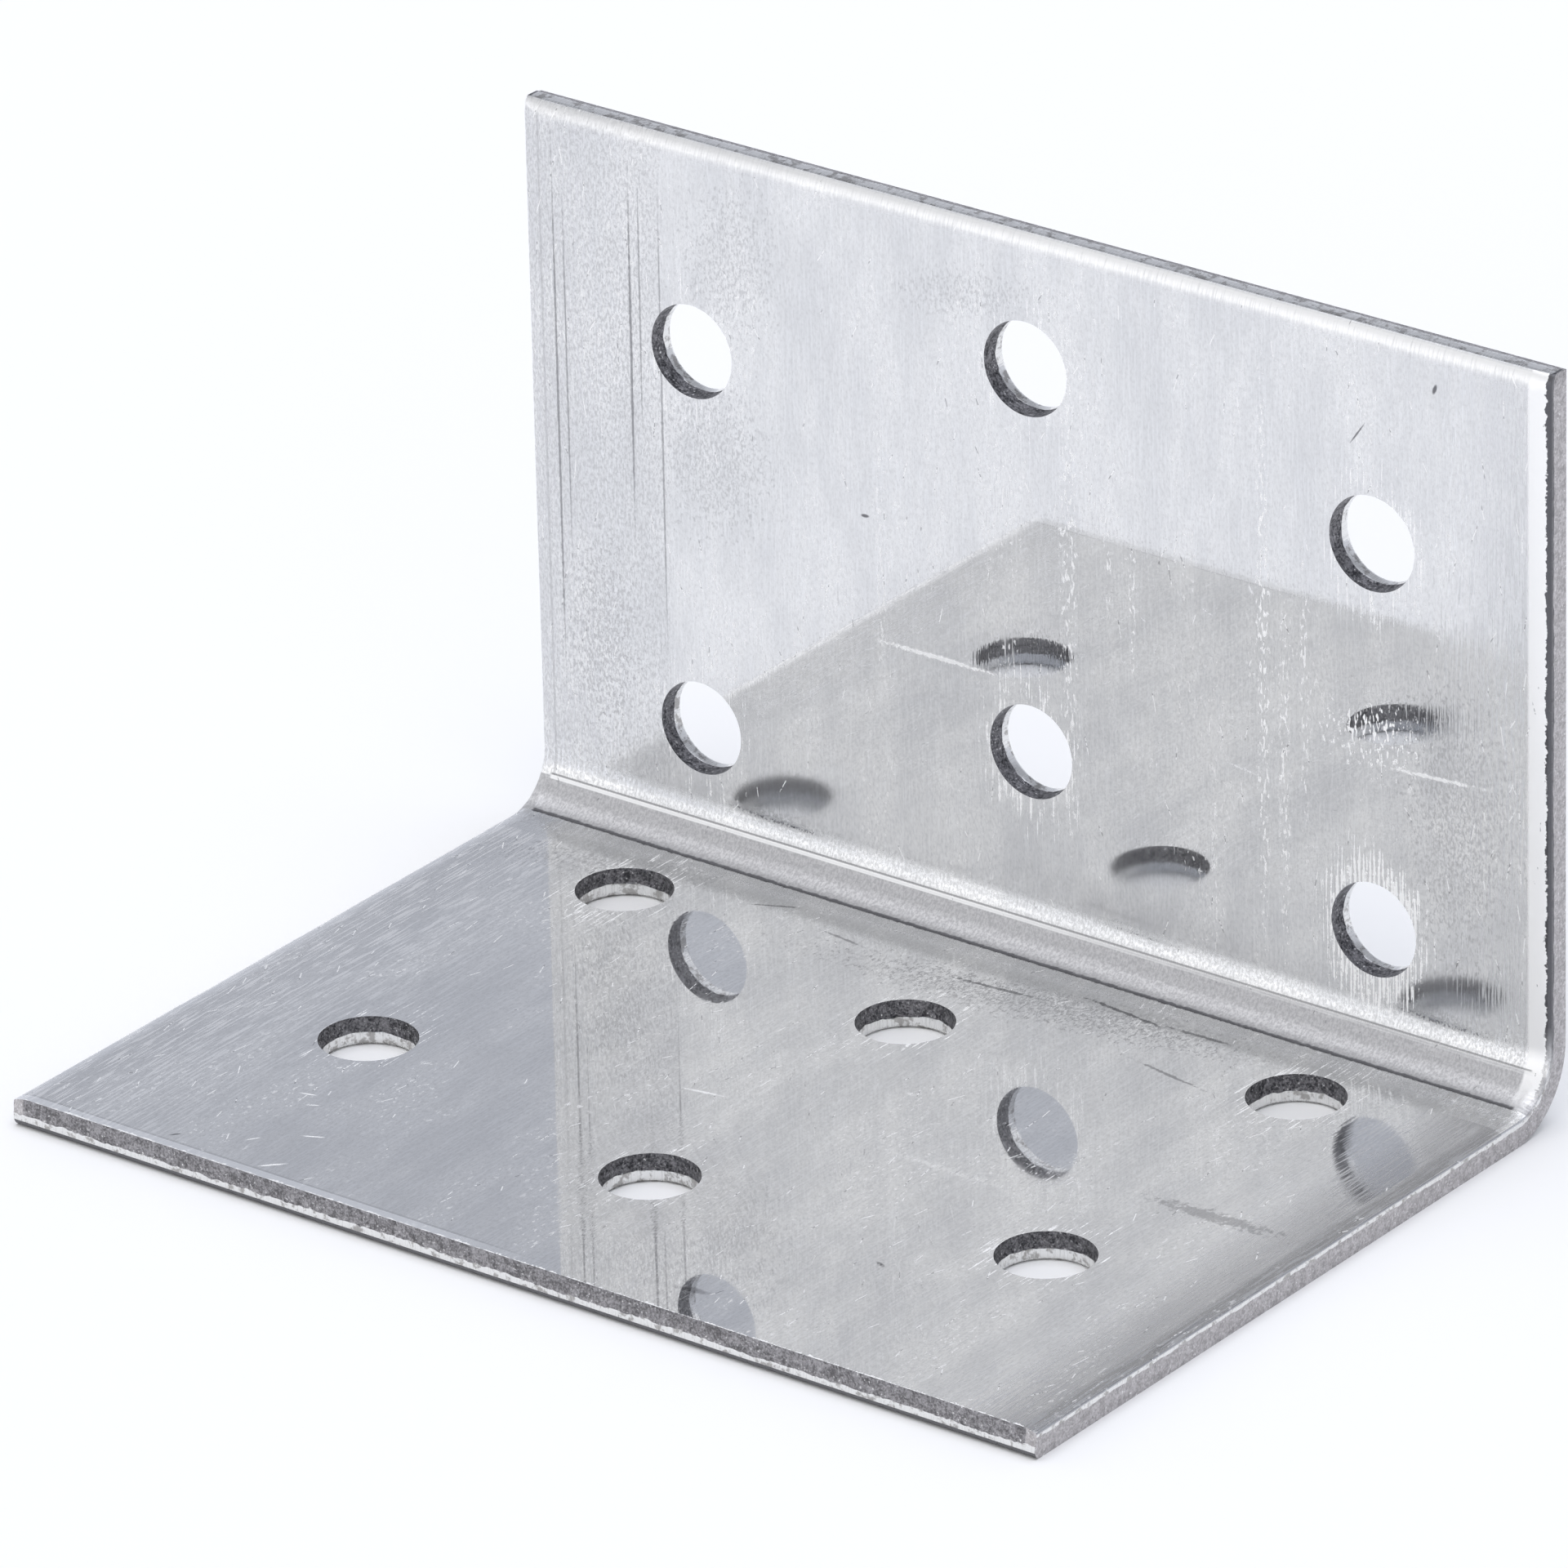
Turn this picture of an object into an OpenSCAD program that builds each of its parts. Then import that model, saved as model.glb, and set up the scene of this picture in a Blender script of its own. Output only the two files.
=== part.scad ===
// Angle bracket: one blank of 1.5 mm steel sheet, slit and cropped to size, punched with six
// holes a leg and folded once through a right angle.
//
// +Z is up. The base leg lies on z = 0, the upright leg stands at +Y, and X runs along the fold.
// The inner faces are the ones inside the angle. The slit edges are rolled over at the inner
// faces, and the holes are punched through from the outer faces.

/* [Sheet] */
// Width of the strip, along the fold
width = 60; // [54:1:90]
// Thickness of the sheet
sheet_t = 1.5; // [1.2:0.1:2]
// Length of the base leg, from the outer face of the upright leg
base_l = 42.4; // [38:0.2:60]
// Height of the upright leg, from the outer face of the base leg
upright_l = 38.6; // [38:0.2:60]

/* [Fold] */
// Inside radius of the fold
fold_r = 2.6; // [2.2:0.1:3.2]
// Radius of the press tool's nose, which sets a flute into the inside of the fold
nose_r = 1.8; // [1.5:0.1:2]
// How far the nose is set into the sheet
nose_set = 0.1; // [0.05:0.01:0.15]
// Lean of the nose from the middle of the fold towards the base leg, in degrees
nose_lean = 6; // [0:1:12]

/* [Holes] */
// Diameter of a hole at its burnished land
hole_d = 4.7; // [3.5:0.1:6]
// Distance between the columns of holes, along the fold
column_pitch = 20; // [14:0.5:24]
// Distance between the two rows of a column, away from the fold
row_pitch = 20; // [14:0.5:22]
// How much further from the fold the middle column is than the outer two
stagger = 4; // [0:0.5:6]
// First row on the base leg, from the inner face of the upright leg
base_row = 6.4; // [5.6:0.1:9]
// First row on the upright leg, from the inner face of the base leg
upright_row = 6.2; // [5.6:0.1:9]

/* [Sheared edges] */
// Width of the band rolled over along a sheared edge
roll_w = 0.6; // [0.4:0.05:0.8]
// Radius of the rolled band
roll_r = 0.9; // [0.85:0.05:1.2]
// Depth of the burnished land below the rolled band
land_h = 0.25; // [0.1:0.05:0.4]
// How far the break leans in from the land at the far face
break_lean = 0.1; // [0.04:0.01:0.15]

/* [Punched edges] */
// Radius of the rolled rim on the side where the punch went in
rim_r = 0.25; // [0.15:0.05:0.35]
// Depth of the torn break on the side where the punch came out
break_h = 0.85; // [0.5:0.05:1]
// How much wider than the land the break is at the face, on the radius
break_w = 0.08; // [0.03:0.01:0.15]

/* [Hidden] */
$fn = 96;
// Overlap that carries a cut past the face it goes through
past = 1;
// Share of its radius by which a rolled band rises past the face, so that it crosses it cleanly
crown = 0.01;
rim_crown = 0.1;
sheet_colour = [0.75, 0.76, 0.78];

// Fold centre and the flat lengths that it leaves
back_y = base_l / 2;
front_y = -base_l / 2;
fold_y = back_y - sheet_t - fold_r;
fold_z = sheet_t + fold_r;
base_flat = fold_y - front_y;
upright_flat = upright_l - fold_z;

// The rolled band, the land and the break across the thickness
roll_centre = roll_r * (1 - crown);
roll_h = roll_centre - sqrt(roll_r * roll_r - roll_w * roll_w);
land_end = roll_h + land_h;

// The nose touches along a circle set past the fold's own by nose_set
nose_out = fold_r + nose_set - nose_r;
nose_dir = -45 - nose_lean;

hole_r = hole_d / 2;

// Outline across a sheared edge: x is the depth from the rolled face and y the distance in from
// the edge. The body of the sheet lies at y > 0 and the outline reaches y = reach.
module sheared_edge(reach) {
  difference() {
    polygon([
      [0, 0],
      [land_end, 0],
      [sheet_t, break_lean],
      [sheet_t, reach],
      [0, reach]
    ]);
    rolled_corner();
  }
}

// What a sheared edge lacks at its rolled corner
module rolled_corner() {
  difference() {
    translate([-past, -past])
      square([past + roll_h, past + roll_w]);
    translate([roll_centre, roll_w])
      circle(r = roll_r);
  }
}

// Section across the strip: x is the depth from the inner face and y runs along the fold
module strip_section() {
  translate([0, -width / 2])
    sheared_edge(width / 2);
  mirror([0, 1])
    translate([0, -width / 2])
      sheared_edge(width / 2);
}

// Turns an outline in the plane of y and z so that it runs along the fold
module along_fold() {
  rotate([90, 0, 90])
    children();
}

// The strip where it is bent, swept round the fold's centre
module folded_strip() {
  translate([0, fold_y, fold_z])
    along_fold()
      rotate([0, 0, -90])
        rotate_extrude(angle = 90)
          translate([fold_r, 0])
            strip_section();
}

// A straight stretch of strip that rises from z = 0 with its inner face on y = 0
module straight_strip(length) {
  linear_extrude(height = length)
    rotate(90)
      mirror([0, 1])
        strip_section();
}

module strip() {
  union() {
    folded_strip();
    translate([0, back_y - sheet_t, fold_z])
      straight_strip(upright_flat);
    translate([0, front_y, sheet_t])
      rotate([-90, 0, 0])
        straight_strip(base_flat);
  }
}

// What the crop takes off an end whose edge lies on the x axis, with the rolled face at x = 0
module cropped_end() {
  along_fold()
    linear_extrude(height = width + 2 * past, center = true)
      difference() {
        translate([-past, -past])
          square([sheet_t + 2 * past, past + roll_w]);
        sheared_edge(roll_w + past);
      }
}

// A punched hole: z = 0 is the face where the punch went in
module punched_hole() {
  rotate_extrude()
    difference() {
      polygon([
        [0, -past],
        [hole_r + rim_r, -past],
        [hole_r + rim_r, rim_r * (1 - rim_crown)],
        [hole_r, rim_r * (1 - rim_crown)],
        [hole_r, sheet_t - break_h],
        [hole_r + break_w, sheet_t],
        [hole_r + break_w, sheet_t + past],
        [0, sheet_t + past]
      ]);
      translate([hole_r + rim_r, rim_r * (1 - rim_crown)])
        circle(r = rim_r);
    }
}

// The six holes of a leg that lies on z = 0 with the fold's inner line on the x axis
module leg_holes(first_row) {
  for (column = [-1 : 1], row = [0 : 1]) {
    out = first_row + row * row_pitch + (column == 0 ? stagger : 0);
    translate([column * column_pitch, -out, 0])
      punched_hole();
  }
}

// The flute that the nose leaves along the inside of the fold
module nose_flute() {
  translate([0, fold_y, fold_z])
    along_fold()
      translate([nose_out * cos(nose_dir), nose_out * sin(nose_dir), 0])
        cylinder(r = nose_r, h = width + 2 * past, center = true);
}

module angle_bracket() {
  color(sheet_colour)
    difference() {
      strip();
      nose_flute();
      translate([0, back_y - sheet_t, 0])
        leg_holes(base_row);
      translate([0, back_y, sheet_t])
        rotate([90, 0, 0])
          mirror([0, 1, 0])
            leg_holes(upright_row);
      // The upright leg was cropped from inside the angle, and the base leg from below
      translate([0, back_y - sheet_t, upright_l])
        mirror([0, 0, 1])
          cropped_end();
      translate([0, front_y, 0])
        rotate([-90, 0, 0])
          mirror([0, 1, 0])
            cropped_end();
    }
}

angle_bracket();
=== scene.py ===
"""Looks of the angle bracket: one zinc-plated strip of sheet steel, punched, cropped and folded.

Strip coordinates are used throughout: u across the strip, s along it from the base leg's free end
to the upright leg's free end, and t down from the inner face. Lengths are in millimetres until the
mesh is made.
"""

import math
from functools import reduce
from types import SimpleNamespace

import bmesh
import bpy
import numpy as np
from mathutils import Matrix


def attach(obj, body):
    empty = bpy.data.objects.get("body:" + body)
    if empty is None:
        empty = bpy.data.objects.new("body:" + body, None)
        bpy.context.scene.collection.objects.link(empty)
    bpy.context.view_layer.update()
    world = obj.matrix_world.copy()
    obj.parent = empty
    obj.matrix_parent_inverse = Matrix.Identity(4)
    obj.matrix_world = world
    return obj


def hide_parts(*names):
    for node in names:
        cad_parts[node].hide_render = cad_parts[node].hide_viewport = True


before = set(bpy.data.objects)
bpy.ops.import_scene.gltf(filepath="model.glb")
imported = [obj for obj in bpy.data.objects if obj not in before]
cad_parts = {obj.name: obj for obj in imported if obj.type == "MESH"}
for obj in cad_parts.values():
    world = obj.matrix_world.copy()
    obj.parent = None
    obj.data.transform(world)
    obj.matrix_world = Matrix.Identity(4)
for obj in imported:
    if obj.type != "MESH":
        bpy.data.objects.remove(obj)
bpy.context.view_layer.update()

MM = 0.001

# Sizes of the strip, as the CAD part has them
WIDTH = 60.0
SHEET_T = 1.5
BASE_L = 42.4
UPRIGHT_L = 38.6
FOLD_R = 2.6
NOSE_R = 1.8
NOSE_SET = 0.1
NOSE_LEAN = 6.0
HOLE_R = 2.35
COLUMN_PITCH = 20.0
ROW_PITCH = 20.0
STAGGER = 4.0
BASE_ROW = 6.4
UPRIGHT_ROW = 6.2
BREAK_LEAN = 0.1
RIM_R = 0.25
HOLE_BREAK_H = 0.85
HOLE_BREAK_W = 0.08

# Derived lengths
HALF = WIDTH / 2
FRONT_Y = -BASE_L / 2
FOLD_Z = SHEET_T + FOLD_R
BASE_FLAT = BASE_L - SHEET_T - FOLD_R
FOLD_S = (FOLD_R + SHEET_T / 2) * math.pi / 2
UPRIGHT_S = BASE_FLAT + FOLD_S
STRIP_L = UPRIGHT_S + UPRIGHT_L - FOLD_Z

# Slit edges: the rolled band with its small round at the edge, the land under it and the break
BAND_W = 0.85
BAND_WAVER = 0.05
BAND_WAVER_SPACING = 3.0
BAND_SLOPE = 0.08
BAND_CURVE = 0.16
CORNER_R = 0.07
LAND_H = 0.18
SLIT_LEAN = 0.04

# Cropped ends: the round and the land of the base leg's end and of the upright leg's
CROP_ROLL_W = 0.34
CROP_ROLL_H = 0.36
CROP_LAND_H = 0.3
TOP_ROLL_W = 0.95
TOP_ROLL_H = 0.42
TOP_LAND_H = 0.7
# Share of a quarter circle's radius that the round takes up
CROP_TURN = 0.93
# Share of the lesser round that is added to the greater where two meet at a corner
CORNER_SHARE = 0.35

# Torn surfaces: how far they crumble, and how far the border between land and break wanders
CRUMBLE = 0.035
BORDER_WANDER = 0.07
CROP_WANDER = 0.11
HOLE_CRUMBLE = 0.05
HOLE_WANDER = 0.13
# How quickly the crumbling sets in where the break starts at a face, and fades where it ends at one
CRUMBLE_IN = 4
CRUMBLE_OUT = 5
# Height, width, shift from row to row, share and seed's offset of the crumbs of a torn surface
CRUMBS = ((0.11, 0.16, 7.3, 0.3, 0), (0.3, 0.5, 3.1, 0.2, 5))
# Spacing, share and smoothness of the waves that make up a torn border
WANDER_WAVES = ((2.3, 0.45, True), (0.6, 0.4, True), (0.2, 0.45, False))

# The flute that the press tool's nose leaves inside the fold, in turns round the fold's centre
FLUTE_DIR = math.radians(45 - NOSE_LEAN)
NOSE_OUT = FOLD_R + NOSE_SET - NOSE_R
FLUTE_HALF = math.acos((FOLD_R**2 + NOSE_OUT**2 - NOSE_R**2) / (2 * FOLD_R * NOSE_OUT))
FLUTE_LOW = BASE_FLAT + (FLUTE_DIR - FLUTE_HALF) / (math.pi / 2) * FOLD_S
FLUTE_HIGH = BASE_FLAT + (FLUTE_DIR + FLUTE_HALF) / (math.pi / 2) * FOLD_S
# Distance from the slit edge at which the flute starts, and over which it reaches its depth
FLUTE_START = BAND_W * 0.7
FLUTE_RISE = 0.25
# The crease at the flute's lower border and the lip at its upper one
CREASE_H = 0.05
CREASE_W = 0.12
CREASE_OFF = 0.03
LIP_H = 0.025
LIP_W = 0.11
LIP_OFF = 0.02

# Lines of the strip's grid: distances in from the slit edges, the base leg's end and the upright's
EDGE_STEPS = [0, 0.02, 0.045, 0.07, 0.13, 0.22, 0.34, 0.48, 0.62, 0.76, 0.88, 1.0, 1.4, 2.0, 2.75]
MIDDLE_HALF = 26.5
FRONT_STEPS = [0, 0.02, 0.05, 0.09, 0.14, 0.2, 0.27, 0.34, 0.42, 0.7]
TOP_STEPS = [0.95, 0.85, 0.72, 0.58, 0.45, 0.33, 0.23, 0.14, 0.08, 0.035, 0]
UPRIGHT_FIRST = 0.1
LEAST_STEP = 0.05
# Lines about the flute's borders, outwards to inwards, and how many lie below, in and above it
FLUTE_STEPS = [-0.16, -0.09, -0.05, -0.02, 0.01, 0.03, 0.06, 0.1, 0.15, 0.22]
LINES_BELOW = 6
LINES_WITHIN = 16
LINES_ABOVE = 14

# Mesh of the borders and walls
STEP_ALONG = 0.13
BREAK_ROWS = 8
LAND_ROWS = 3
RIM_ROWS = 5
# Width of sheet along an edge that moves in with its border
PULL_W = 0.5

# Mesh of a hole's cell: points round its square and round its hole, and the rings of sheet between,
# each with its radius and its points as a multiple of the square's
CELL_HALF = 3.5
CELL_STEPS = 7
SQUARE_STEPS = 4 * CELL_STEPS
RIM_STEPS = 4 * SQUARE_STEPS
RING_START = -3 * math.pi / 4
INNER_RINGS = ((3.3, 1), (3.0, 2), (2.75, 4), (2.55, 4), (HOLE_R + HOLE_BREAK_W, 4))
OUTER_RINGS = ((3.4, 1), (3.1, 2), (2.8, 4), (HOLE_R + RIM_R, 4))

# Seeds of each torn edge, of the hole cells' turns and of the waver in the bands' width
LEFT_SEED = 21
RIGHT_SEED = 41
FRONT_SEED = 61
TOP_SEED = 81
HOLE_SEED = 7
TURN_SEED = 5
BAND_SEED = 11

# What a face of the mesh belongs to
ZONE_SHEET = 0
ZONE_LAND = 1
ZONE_BREAK = 2

NOISE_CELLS = 4096
# Keeps the noise's places above zero
NOISE_START = 1000.0


def value_noise(x, spacing, seed, smooth=True):
    """Random values from -1 to 1, set spacing apart along x and joined up between."""
    table = np.random.RandomState(seed).uniform(-1, 1, NOISE_CELLS)
    place = np.asarray(x, float) / spacing + NOISE_START
    cell = np.floor(place).astype(int)
    part = place - cell
    if smooth:
        part = part * part * (3 - 2 * part)
    return table[cell % NOISE_CELLS] * (1 - part) + table[(cell + 1) % NOISE_CELLS] * part


def jag(x, seed):
    """The wandering border of a torn edge, from about -1 to 1."""
    waves = [share * value_noise(x, spacing, seed + k, smooth)
             for k, (spacing, share, smooth) in enumerate(WANDER_WAVES)]
    return sum(waves)


def rough(a, b, seed):
    """Crumbled surface of a torn break, from 0 to 1, over two coordinates."""
    height = 0.5
    for high, wide, shift, share, offset in CRUMBS:
        height = height + share * value_noise(a + shift * np.floor(b / high), wide, seed + offset)
    return height


def corner_drop(d):
    """Depth of the small round at a rolled edge, d in from the edge."""
    inside = np.clip(CORNER_R - d, 0, CORNER_R)
    return CORNER_R - np.sqrt(np.maximum(CORNER_R**2 - inside**2, 0))


def band_drop(d, s):
    """Depth of the band rolled over along a slit edge, d in from the edge."""
    width = BAND_W * (1 + BAND_WAVER * value_noise(s, BAND_WAVER_SPACING, BAND_SEED))
    run = np.clip(width - d, 0, None)
    return BAND_SLOPE * run + BAND_CURVE * run * run + corner_drop(d)


def crop_drop(d, width, height):
    """Depth of the round along a cropped end, d in from the edge."""
    run = np.clip((width - d) / width, 0, 1)
    whole = 1 - math.sqrt(1 - CROP_TURN**2)
    return height * (1 - np.sqrt(np.maximum(1 - (CROP_TURN * run) ** 2, 0))) / whole


def flute_depth(d, s):
    """Depth of the flute inside the fold, with a crease under it and a lip over it. It ends at the bands."""
    away = np.clip((s - BASE_FLAT) / FOLD_S, 0, 1) * math.pi / 2 - FLUTE_DIR
    away = np.clip(away, -FLUTE_HALF, FLUTE_HALF)
    hollow = NOSE_OUT * np.cos(away) + np.sqrt(NOSE_R**2 - (NOSE_OUT * np.sin(away)) ** 2) - FOLD_R
    crease = CREASE_H * np.clip(1 - np.abs(s - FLUTE_LOW - CREASE_OFF) / CREASE_W, 0, 1)
    lip = LIP_H * np.clip(1 - np.abs(s - FLUTE_HIGH + LIP_OFF) / LIP_W, 0, 1)
    return (hollow + crease - lip) * np.clip((d - FLUTE_START) / FLUTE_RISE, 0, 1)


def inner_depth(u, s):
    """Depth of the inner face below its nominal plane."""
    edge = HALF - np.abs(u)
    side = band_drop(edge, s)
    top = crop_drop(STRIP_L - s, TOP_ROLL_W, TOP_ROLL_H)
    return np.maximum(side, top) + CORNER_SHARE * np.minimum(side, top) + flute_depth(edge, s)


def outer_depth(u, s):
    """Depth of the outer face, from the nominal inner face. It is the same for every u."""
    return SHEET_T - crop_drop(s, CROP_ROLL_W, CROP_ROLL_H)


class Mesh:
    """Points in strip coordinates, with faces that carry a zone."""

    def __init__(self):
        self.points = []
        self.faces = []
        self.zones = []

    def add(self, points):
        first = len(self.points)
        self.points.extend(points)
        return list(range(first, first + len(points)))

    def face(self, corners, zone):
        self.faces.append(corners)
        self.zones.append(zone)

    def grid(self, rows, zones, closed=False):
        """Quads between rows of the same number of points. A row's zone is that of the quads below it."""
        ids = [self.add(row) for row in rows]
        for upper, lower, zone in zip(ids[:-1], ids[1:], zones):
            count = len(upper) if closed else len(upper) - 1
            for i in range(count):
                j = (i + 1) % len(upper)
                self.face([upper[i], upper[j], lower[j], lower[i]], zone)

    def object(self, name):
        made = new_object(name, self.points, self.faces)
        zone = made.data.attributes.new("zone", "INT", "FACE")
        zone.data.foreach_set("value", np.array(self.zones, np.int32))
        return made


def new_object(name, points, faces):
    """A mesh in the scene, from points in millimetres."""
    data = bpy.data.meshes.new(name)
    data.from_pydata([(p[0] * MM, p[1] * MM, p[2] * MM) for p in points], [], faces)
    made = bpy.data.objects.new(name, data)
    bpy.context.scene.collection.objects.link(made)
    return made


def across_lines():
    """u of the grid's lines: close together at the slit edges, 1 mm apart between."""
    left = [-HALF + d for d in EDGE_STEPS]
    middle = [-MIDDLE_HALF + k for k in range(int(2 * MIDDLE_HALF) + 1)]
    return left + middle + [-u for u in reversed(left)]


def fold_lines():
    """s of the grid's lines round the fold, close together at both borders of the flute."""
    low = [FLUTE_LOW + step for step in FLUTE_STEPS]
    high = [FLUTE_HIGH - step for step in reversed(FLUTE_STEPS)]
    lines = list(np.linspace(BASE_FLAT, low[0], LINES_BELOW)[:-1]) + low
    lines += list(np.linspace(low[-1], high[0], LINES_WITHIN)[1:-1]) + high
    return lines + list(np.linspace(high[-1], UPRIGHT_S, LINES_ABOVE)[1:])


def along_lines():
    """s of the grid's lines."""
    base = FRONT_STEPS + [float(k) for k in range(1, int(BASE_FLAT) + 1)]
    top = [STRIP_L - d for d in TOP_STEPS]
    upright = [UPRIGHT_S + UPRIGHT_FIRST + k for k in range(int(UPRIGHT_L))]
    upright = [s for s in upright if s < top[0] - LEAST_STEP]
    return base + fold_lines() + upright + top


def hole_centres():
    """u and s of every hole."""
    centres = []
    for column in (-1, 0, 1):
        for row in (0, 1):
            out = row * ROW_PITCH + (STAGGER if column == 0 else 0)
            base_s = BASE_L - SHEET_T - BASE_ROW - out
            upright_s = UPRIGHT_S + SHEET_T + UPRIGHT_ROW + out - FOLD_Z
            centres.append((column * COLUMN_PITCH, base_s))
            centres.append((column * COLUMN_PITCH, upright_s))
    return centres


def drawn_in(d, lean):
    """Distance in from an edge, once the border is moved in by lean."""
    return d + lean * np.clip(1 - d / PULL_W, 0, 1)


def leaned(u, s, slit, front, top):
    """A point of the strip, with each border moved in by its lean."""
    u = np.sign(u) * (HALF - drawn_in(HALF - np.abs(u), slit))
    return u, STRIP_L - drawn_in(STRIP_L - drawn_in(s, front), top)


def in_cell(u, s, centres):
    return any(abs(u - cu) < CELL_HALF and abs(s - cs) < CELL_HALF for cu, cs in centres)


def subdivide(a, b):
    """Points from a to b, STEP_ALONG apart, without b."""
    steps = max(1, math.ceil(abs(b - a) / STEP_ALONG - 1e-6))
    return [a + (b - a) * k / steps for k in range(steps)]


def close_points(a, b):
    """Points from a to b without b, at the same places whichever way they run."""
    run = subdivide(min(a, b), max(a, b)) + [max(a, b)]
    return run[:-1] if a < b else run[:0:-1]


def add_sheet(mesh, us, ss, depth, centres, leans):
    """One face of the strip. Quads on its border take the close points of the edges' meshes."""
    def side(a, b):
        (ua, sa), (ub, sb) = a, b
        if ua == ub and ua in (us[0], us[-1]):
            return [(ua, s) for s in close_points(sa, sb)]
        if sa == sb and sa in (ss[0], ss[-1]):
            return [(u, sa) for u in close_points(ua, ub)]
        return [a]

    for i in range(len(us) - 1):
        for j in range(len(ss) - 1):
            if in_cell((us[i] + us[i + 1]) / 2, (ss[j] + ss[j + 1]) / 2, centres):
                continue
            corners = [(us[i], ss[j]), (us[i + 1], ss[j]), (us[i + 1], ss[j + 1]), (us[i], ss[j + 1])]
            ring = []
            for k in range(4):
                ring += side(corners[k], corners[(k + 1) % 4])
            flat = [(*leaned(u, s, *leans), float(depth(np.float64(u), np.float64(s)))) for u, s in ring]
            mesh.face(mesh.add(flat), ZONE_SHEET)


def wall_rows(near, far, land, break_in, along, seed, break_first):
    """Depth, inset and zone of each row of a sheared wall, from the inner face to the outer one."""
    rows = []
    if break_first:
        border = far - land + CROP_WANDER * jag(along, seed)
        for k in range(BREAK_ROWS):
            part = k / BREAK_ROWS
            depth = near + (border - near) * part
            crumble = CRUMBLE * rough(along, depth, seed) * min(1, CRUMBLE_IN * part)
            inset = break_in * (1 - part) + crumble
            rows.append((depth, inset, ZONE_BREAK))
        for k in range(LAND_ROWS + 1):
            rows.append((border + (far - border) * (k / LAND_ROWS), 0 * along, ZONE_LAND))
    else:
        border = near + land + BORDER_WANDER * jag(along, seed)
        for k in range(LAND_ROWS):
            rows.append((near + (border - near) * (k / LAND_ROWS), 0 * along, ZONE_LAND))
        rows.append((border, 0 * along, ZONE_BREAK))
        for k in range(1, BREAK_ROWS + 1):
            part = k / BREAK_ROWS
            depth = border + (far - border) * part
            crumble = CRUMBLE * rough(along, depth, seed) * min(1, CRUMBLE_OUT * (1 - part))
            inset = break_in * part + crumble
            rows.append((depth, inset, ZONE_BREAK))
    return rows


def fine_line(lines):
    """All the close points along a border, with its last point."""
    run = []
    for a, b in zip(lines[:-1], lines[1:]):
        run += subdivide(a, b)
    return np.array(run + [lines[-1]])


def add_slit_wall(mesh, side, ss, seed):
    """The wall at a slit edge: band above, then land, then break. side is -1 or +1, as u is."""
    along = fine_line(ss)
    near = inner_depth(np.full(len(along), side * HALF), along)
    far = outer_depth(side * HALF, along)
    rows = wall_rows(near, far, LAND_H, SLIT_LEAN, along, seed, False)
    points = []
    for depth, inset, _ in rows:
        share = (depth - near) / (far - near)
        s_here = leaned(HALF, along, 0, BREAK_LEAN * (1 - share), BREAK_LEAN * share)[1]
        points.append([(side * (HALF - w), s, t) for s, t, w in zip(s_here, depth, inset)])
    mesh.grid(points, [zone for _, _, zone in rows])


def add_end_wall(mesh, us, s_end, inward, land, seed, break_first):
    """The wall at a cropped end. inward is +1 where the strip lies at larger s."""
    along = fine_line(us)
    near = inner_depth(along, np.full(len(along), s_end))
    far = outer_depth(along, np.full(len(along), s_end))
    rows = wall_rows(near, far, land, BREAK_LEAN, along, seed, break_first)
    points = []
    for depth, inset, _ in rows:
        share = (depth - near) / (far - near)
        u_here = leaned(along, s_end, SLIT_LEAN * share, 0, 0)[0]
        points.append([(u, s_end + inward * w, t) for u, t, w in zip(u_here, depth, inset)])
    mesh.grid(points, [zone for _, _, zone in rows])


def strip_mesh():
    """The whole strip but for its hole cells, laid out flat."""
    mesh = Mesh()
    us = across_lines()
    ss = along_lines()
    centres = hole_centres()
    add_sheet(mesh, us, ss, inner_depth, centres, (0, BREAK_LEAN, 0))
    add_sheet(mesh, us, ss, outer_depth, centres, (SLIT_LEAN, 0, BREAK_LEAN))
    add_slit_wall(mesh, -1, ss, LEFT_SEED)
    add_slit_wall(mesh, 1, ss, RIGHT_SEED)
    add_end_wall(mesh, us, ss[0], 1, CROP_LAND_H, FRONT_SEED, True)
    add_end_wall(mesh, us, ss[-1], -1, TOP_LAND_H, TOP_SEED, False)
    return mesh


def square_ring(count, half):
    """Points round a square, starting at its lower left corner, count to a side."""
    steps = np.linspace(-half, half, count + 1)
    ring = [(x, -half) for x in steps[:-1]] + [(half, y) for y in steps[:-1]]
    ring += [(x, half) for x in steps[:0:-1]] + [(-half, y) for y in steps[:0:-1]]
    return ring


def circle_turns(count):
    """The turns of count points round a circle, starting at the square's lower left corner."""
    return RING_START + np.arange(count) * 2 * math.pi / count


def add_face_rings(mesh, depth, rings):
    """A square of sheet round a hole, at a constant depth, down to the last of rings."""
    ids = mesh.add([(x, y, depth) for x, y in square_ring(CELL_STEPS, CELL_HALF)])
    for radius, multiple in rings:
        turns = circle_turns(multiple * SQUARE_STEPS)
        new = mesh.add([(radius * math.cos(a), radius * math.sin(a), depth) for a in turns])
        n, m = len(ids), len(new)
        for i in range(n):
            a, b = ids[i], ids[(i + 1) % n]
            if m == n:
                mesh.face([a, b, new[(i + 1) % m], new[i]], ZONE_SHEET)
            else:
                p, q, r = new[2 * i], new[2 * i + 1], new[(2 * i + 2) % m]
                mesh.face([a, q, p], ZONE_SHEET)
                mesh.face([a, b, q], ZONE_SHEET)
                mesh.face([b, r, q], ZONE_SHEET)
        ids = new


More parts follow.
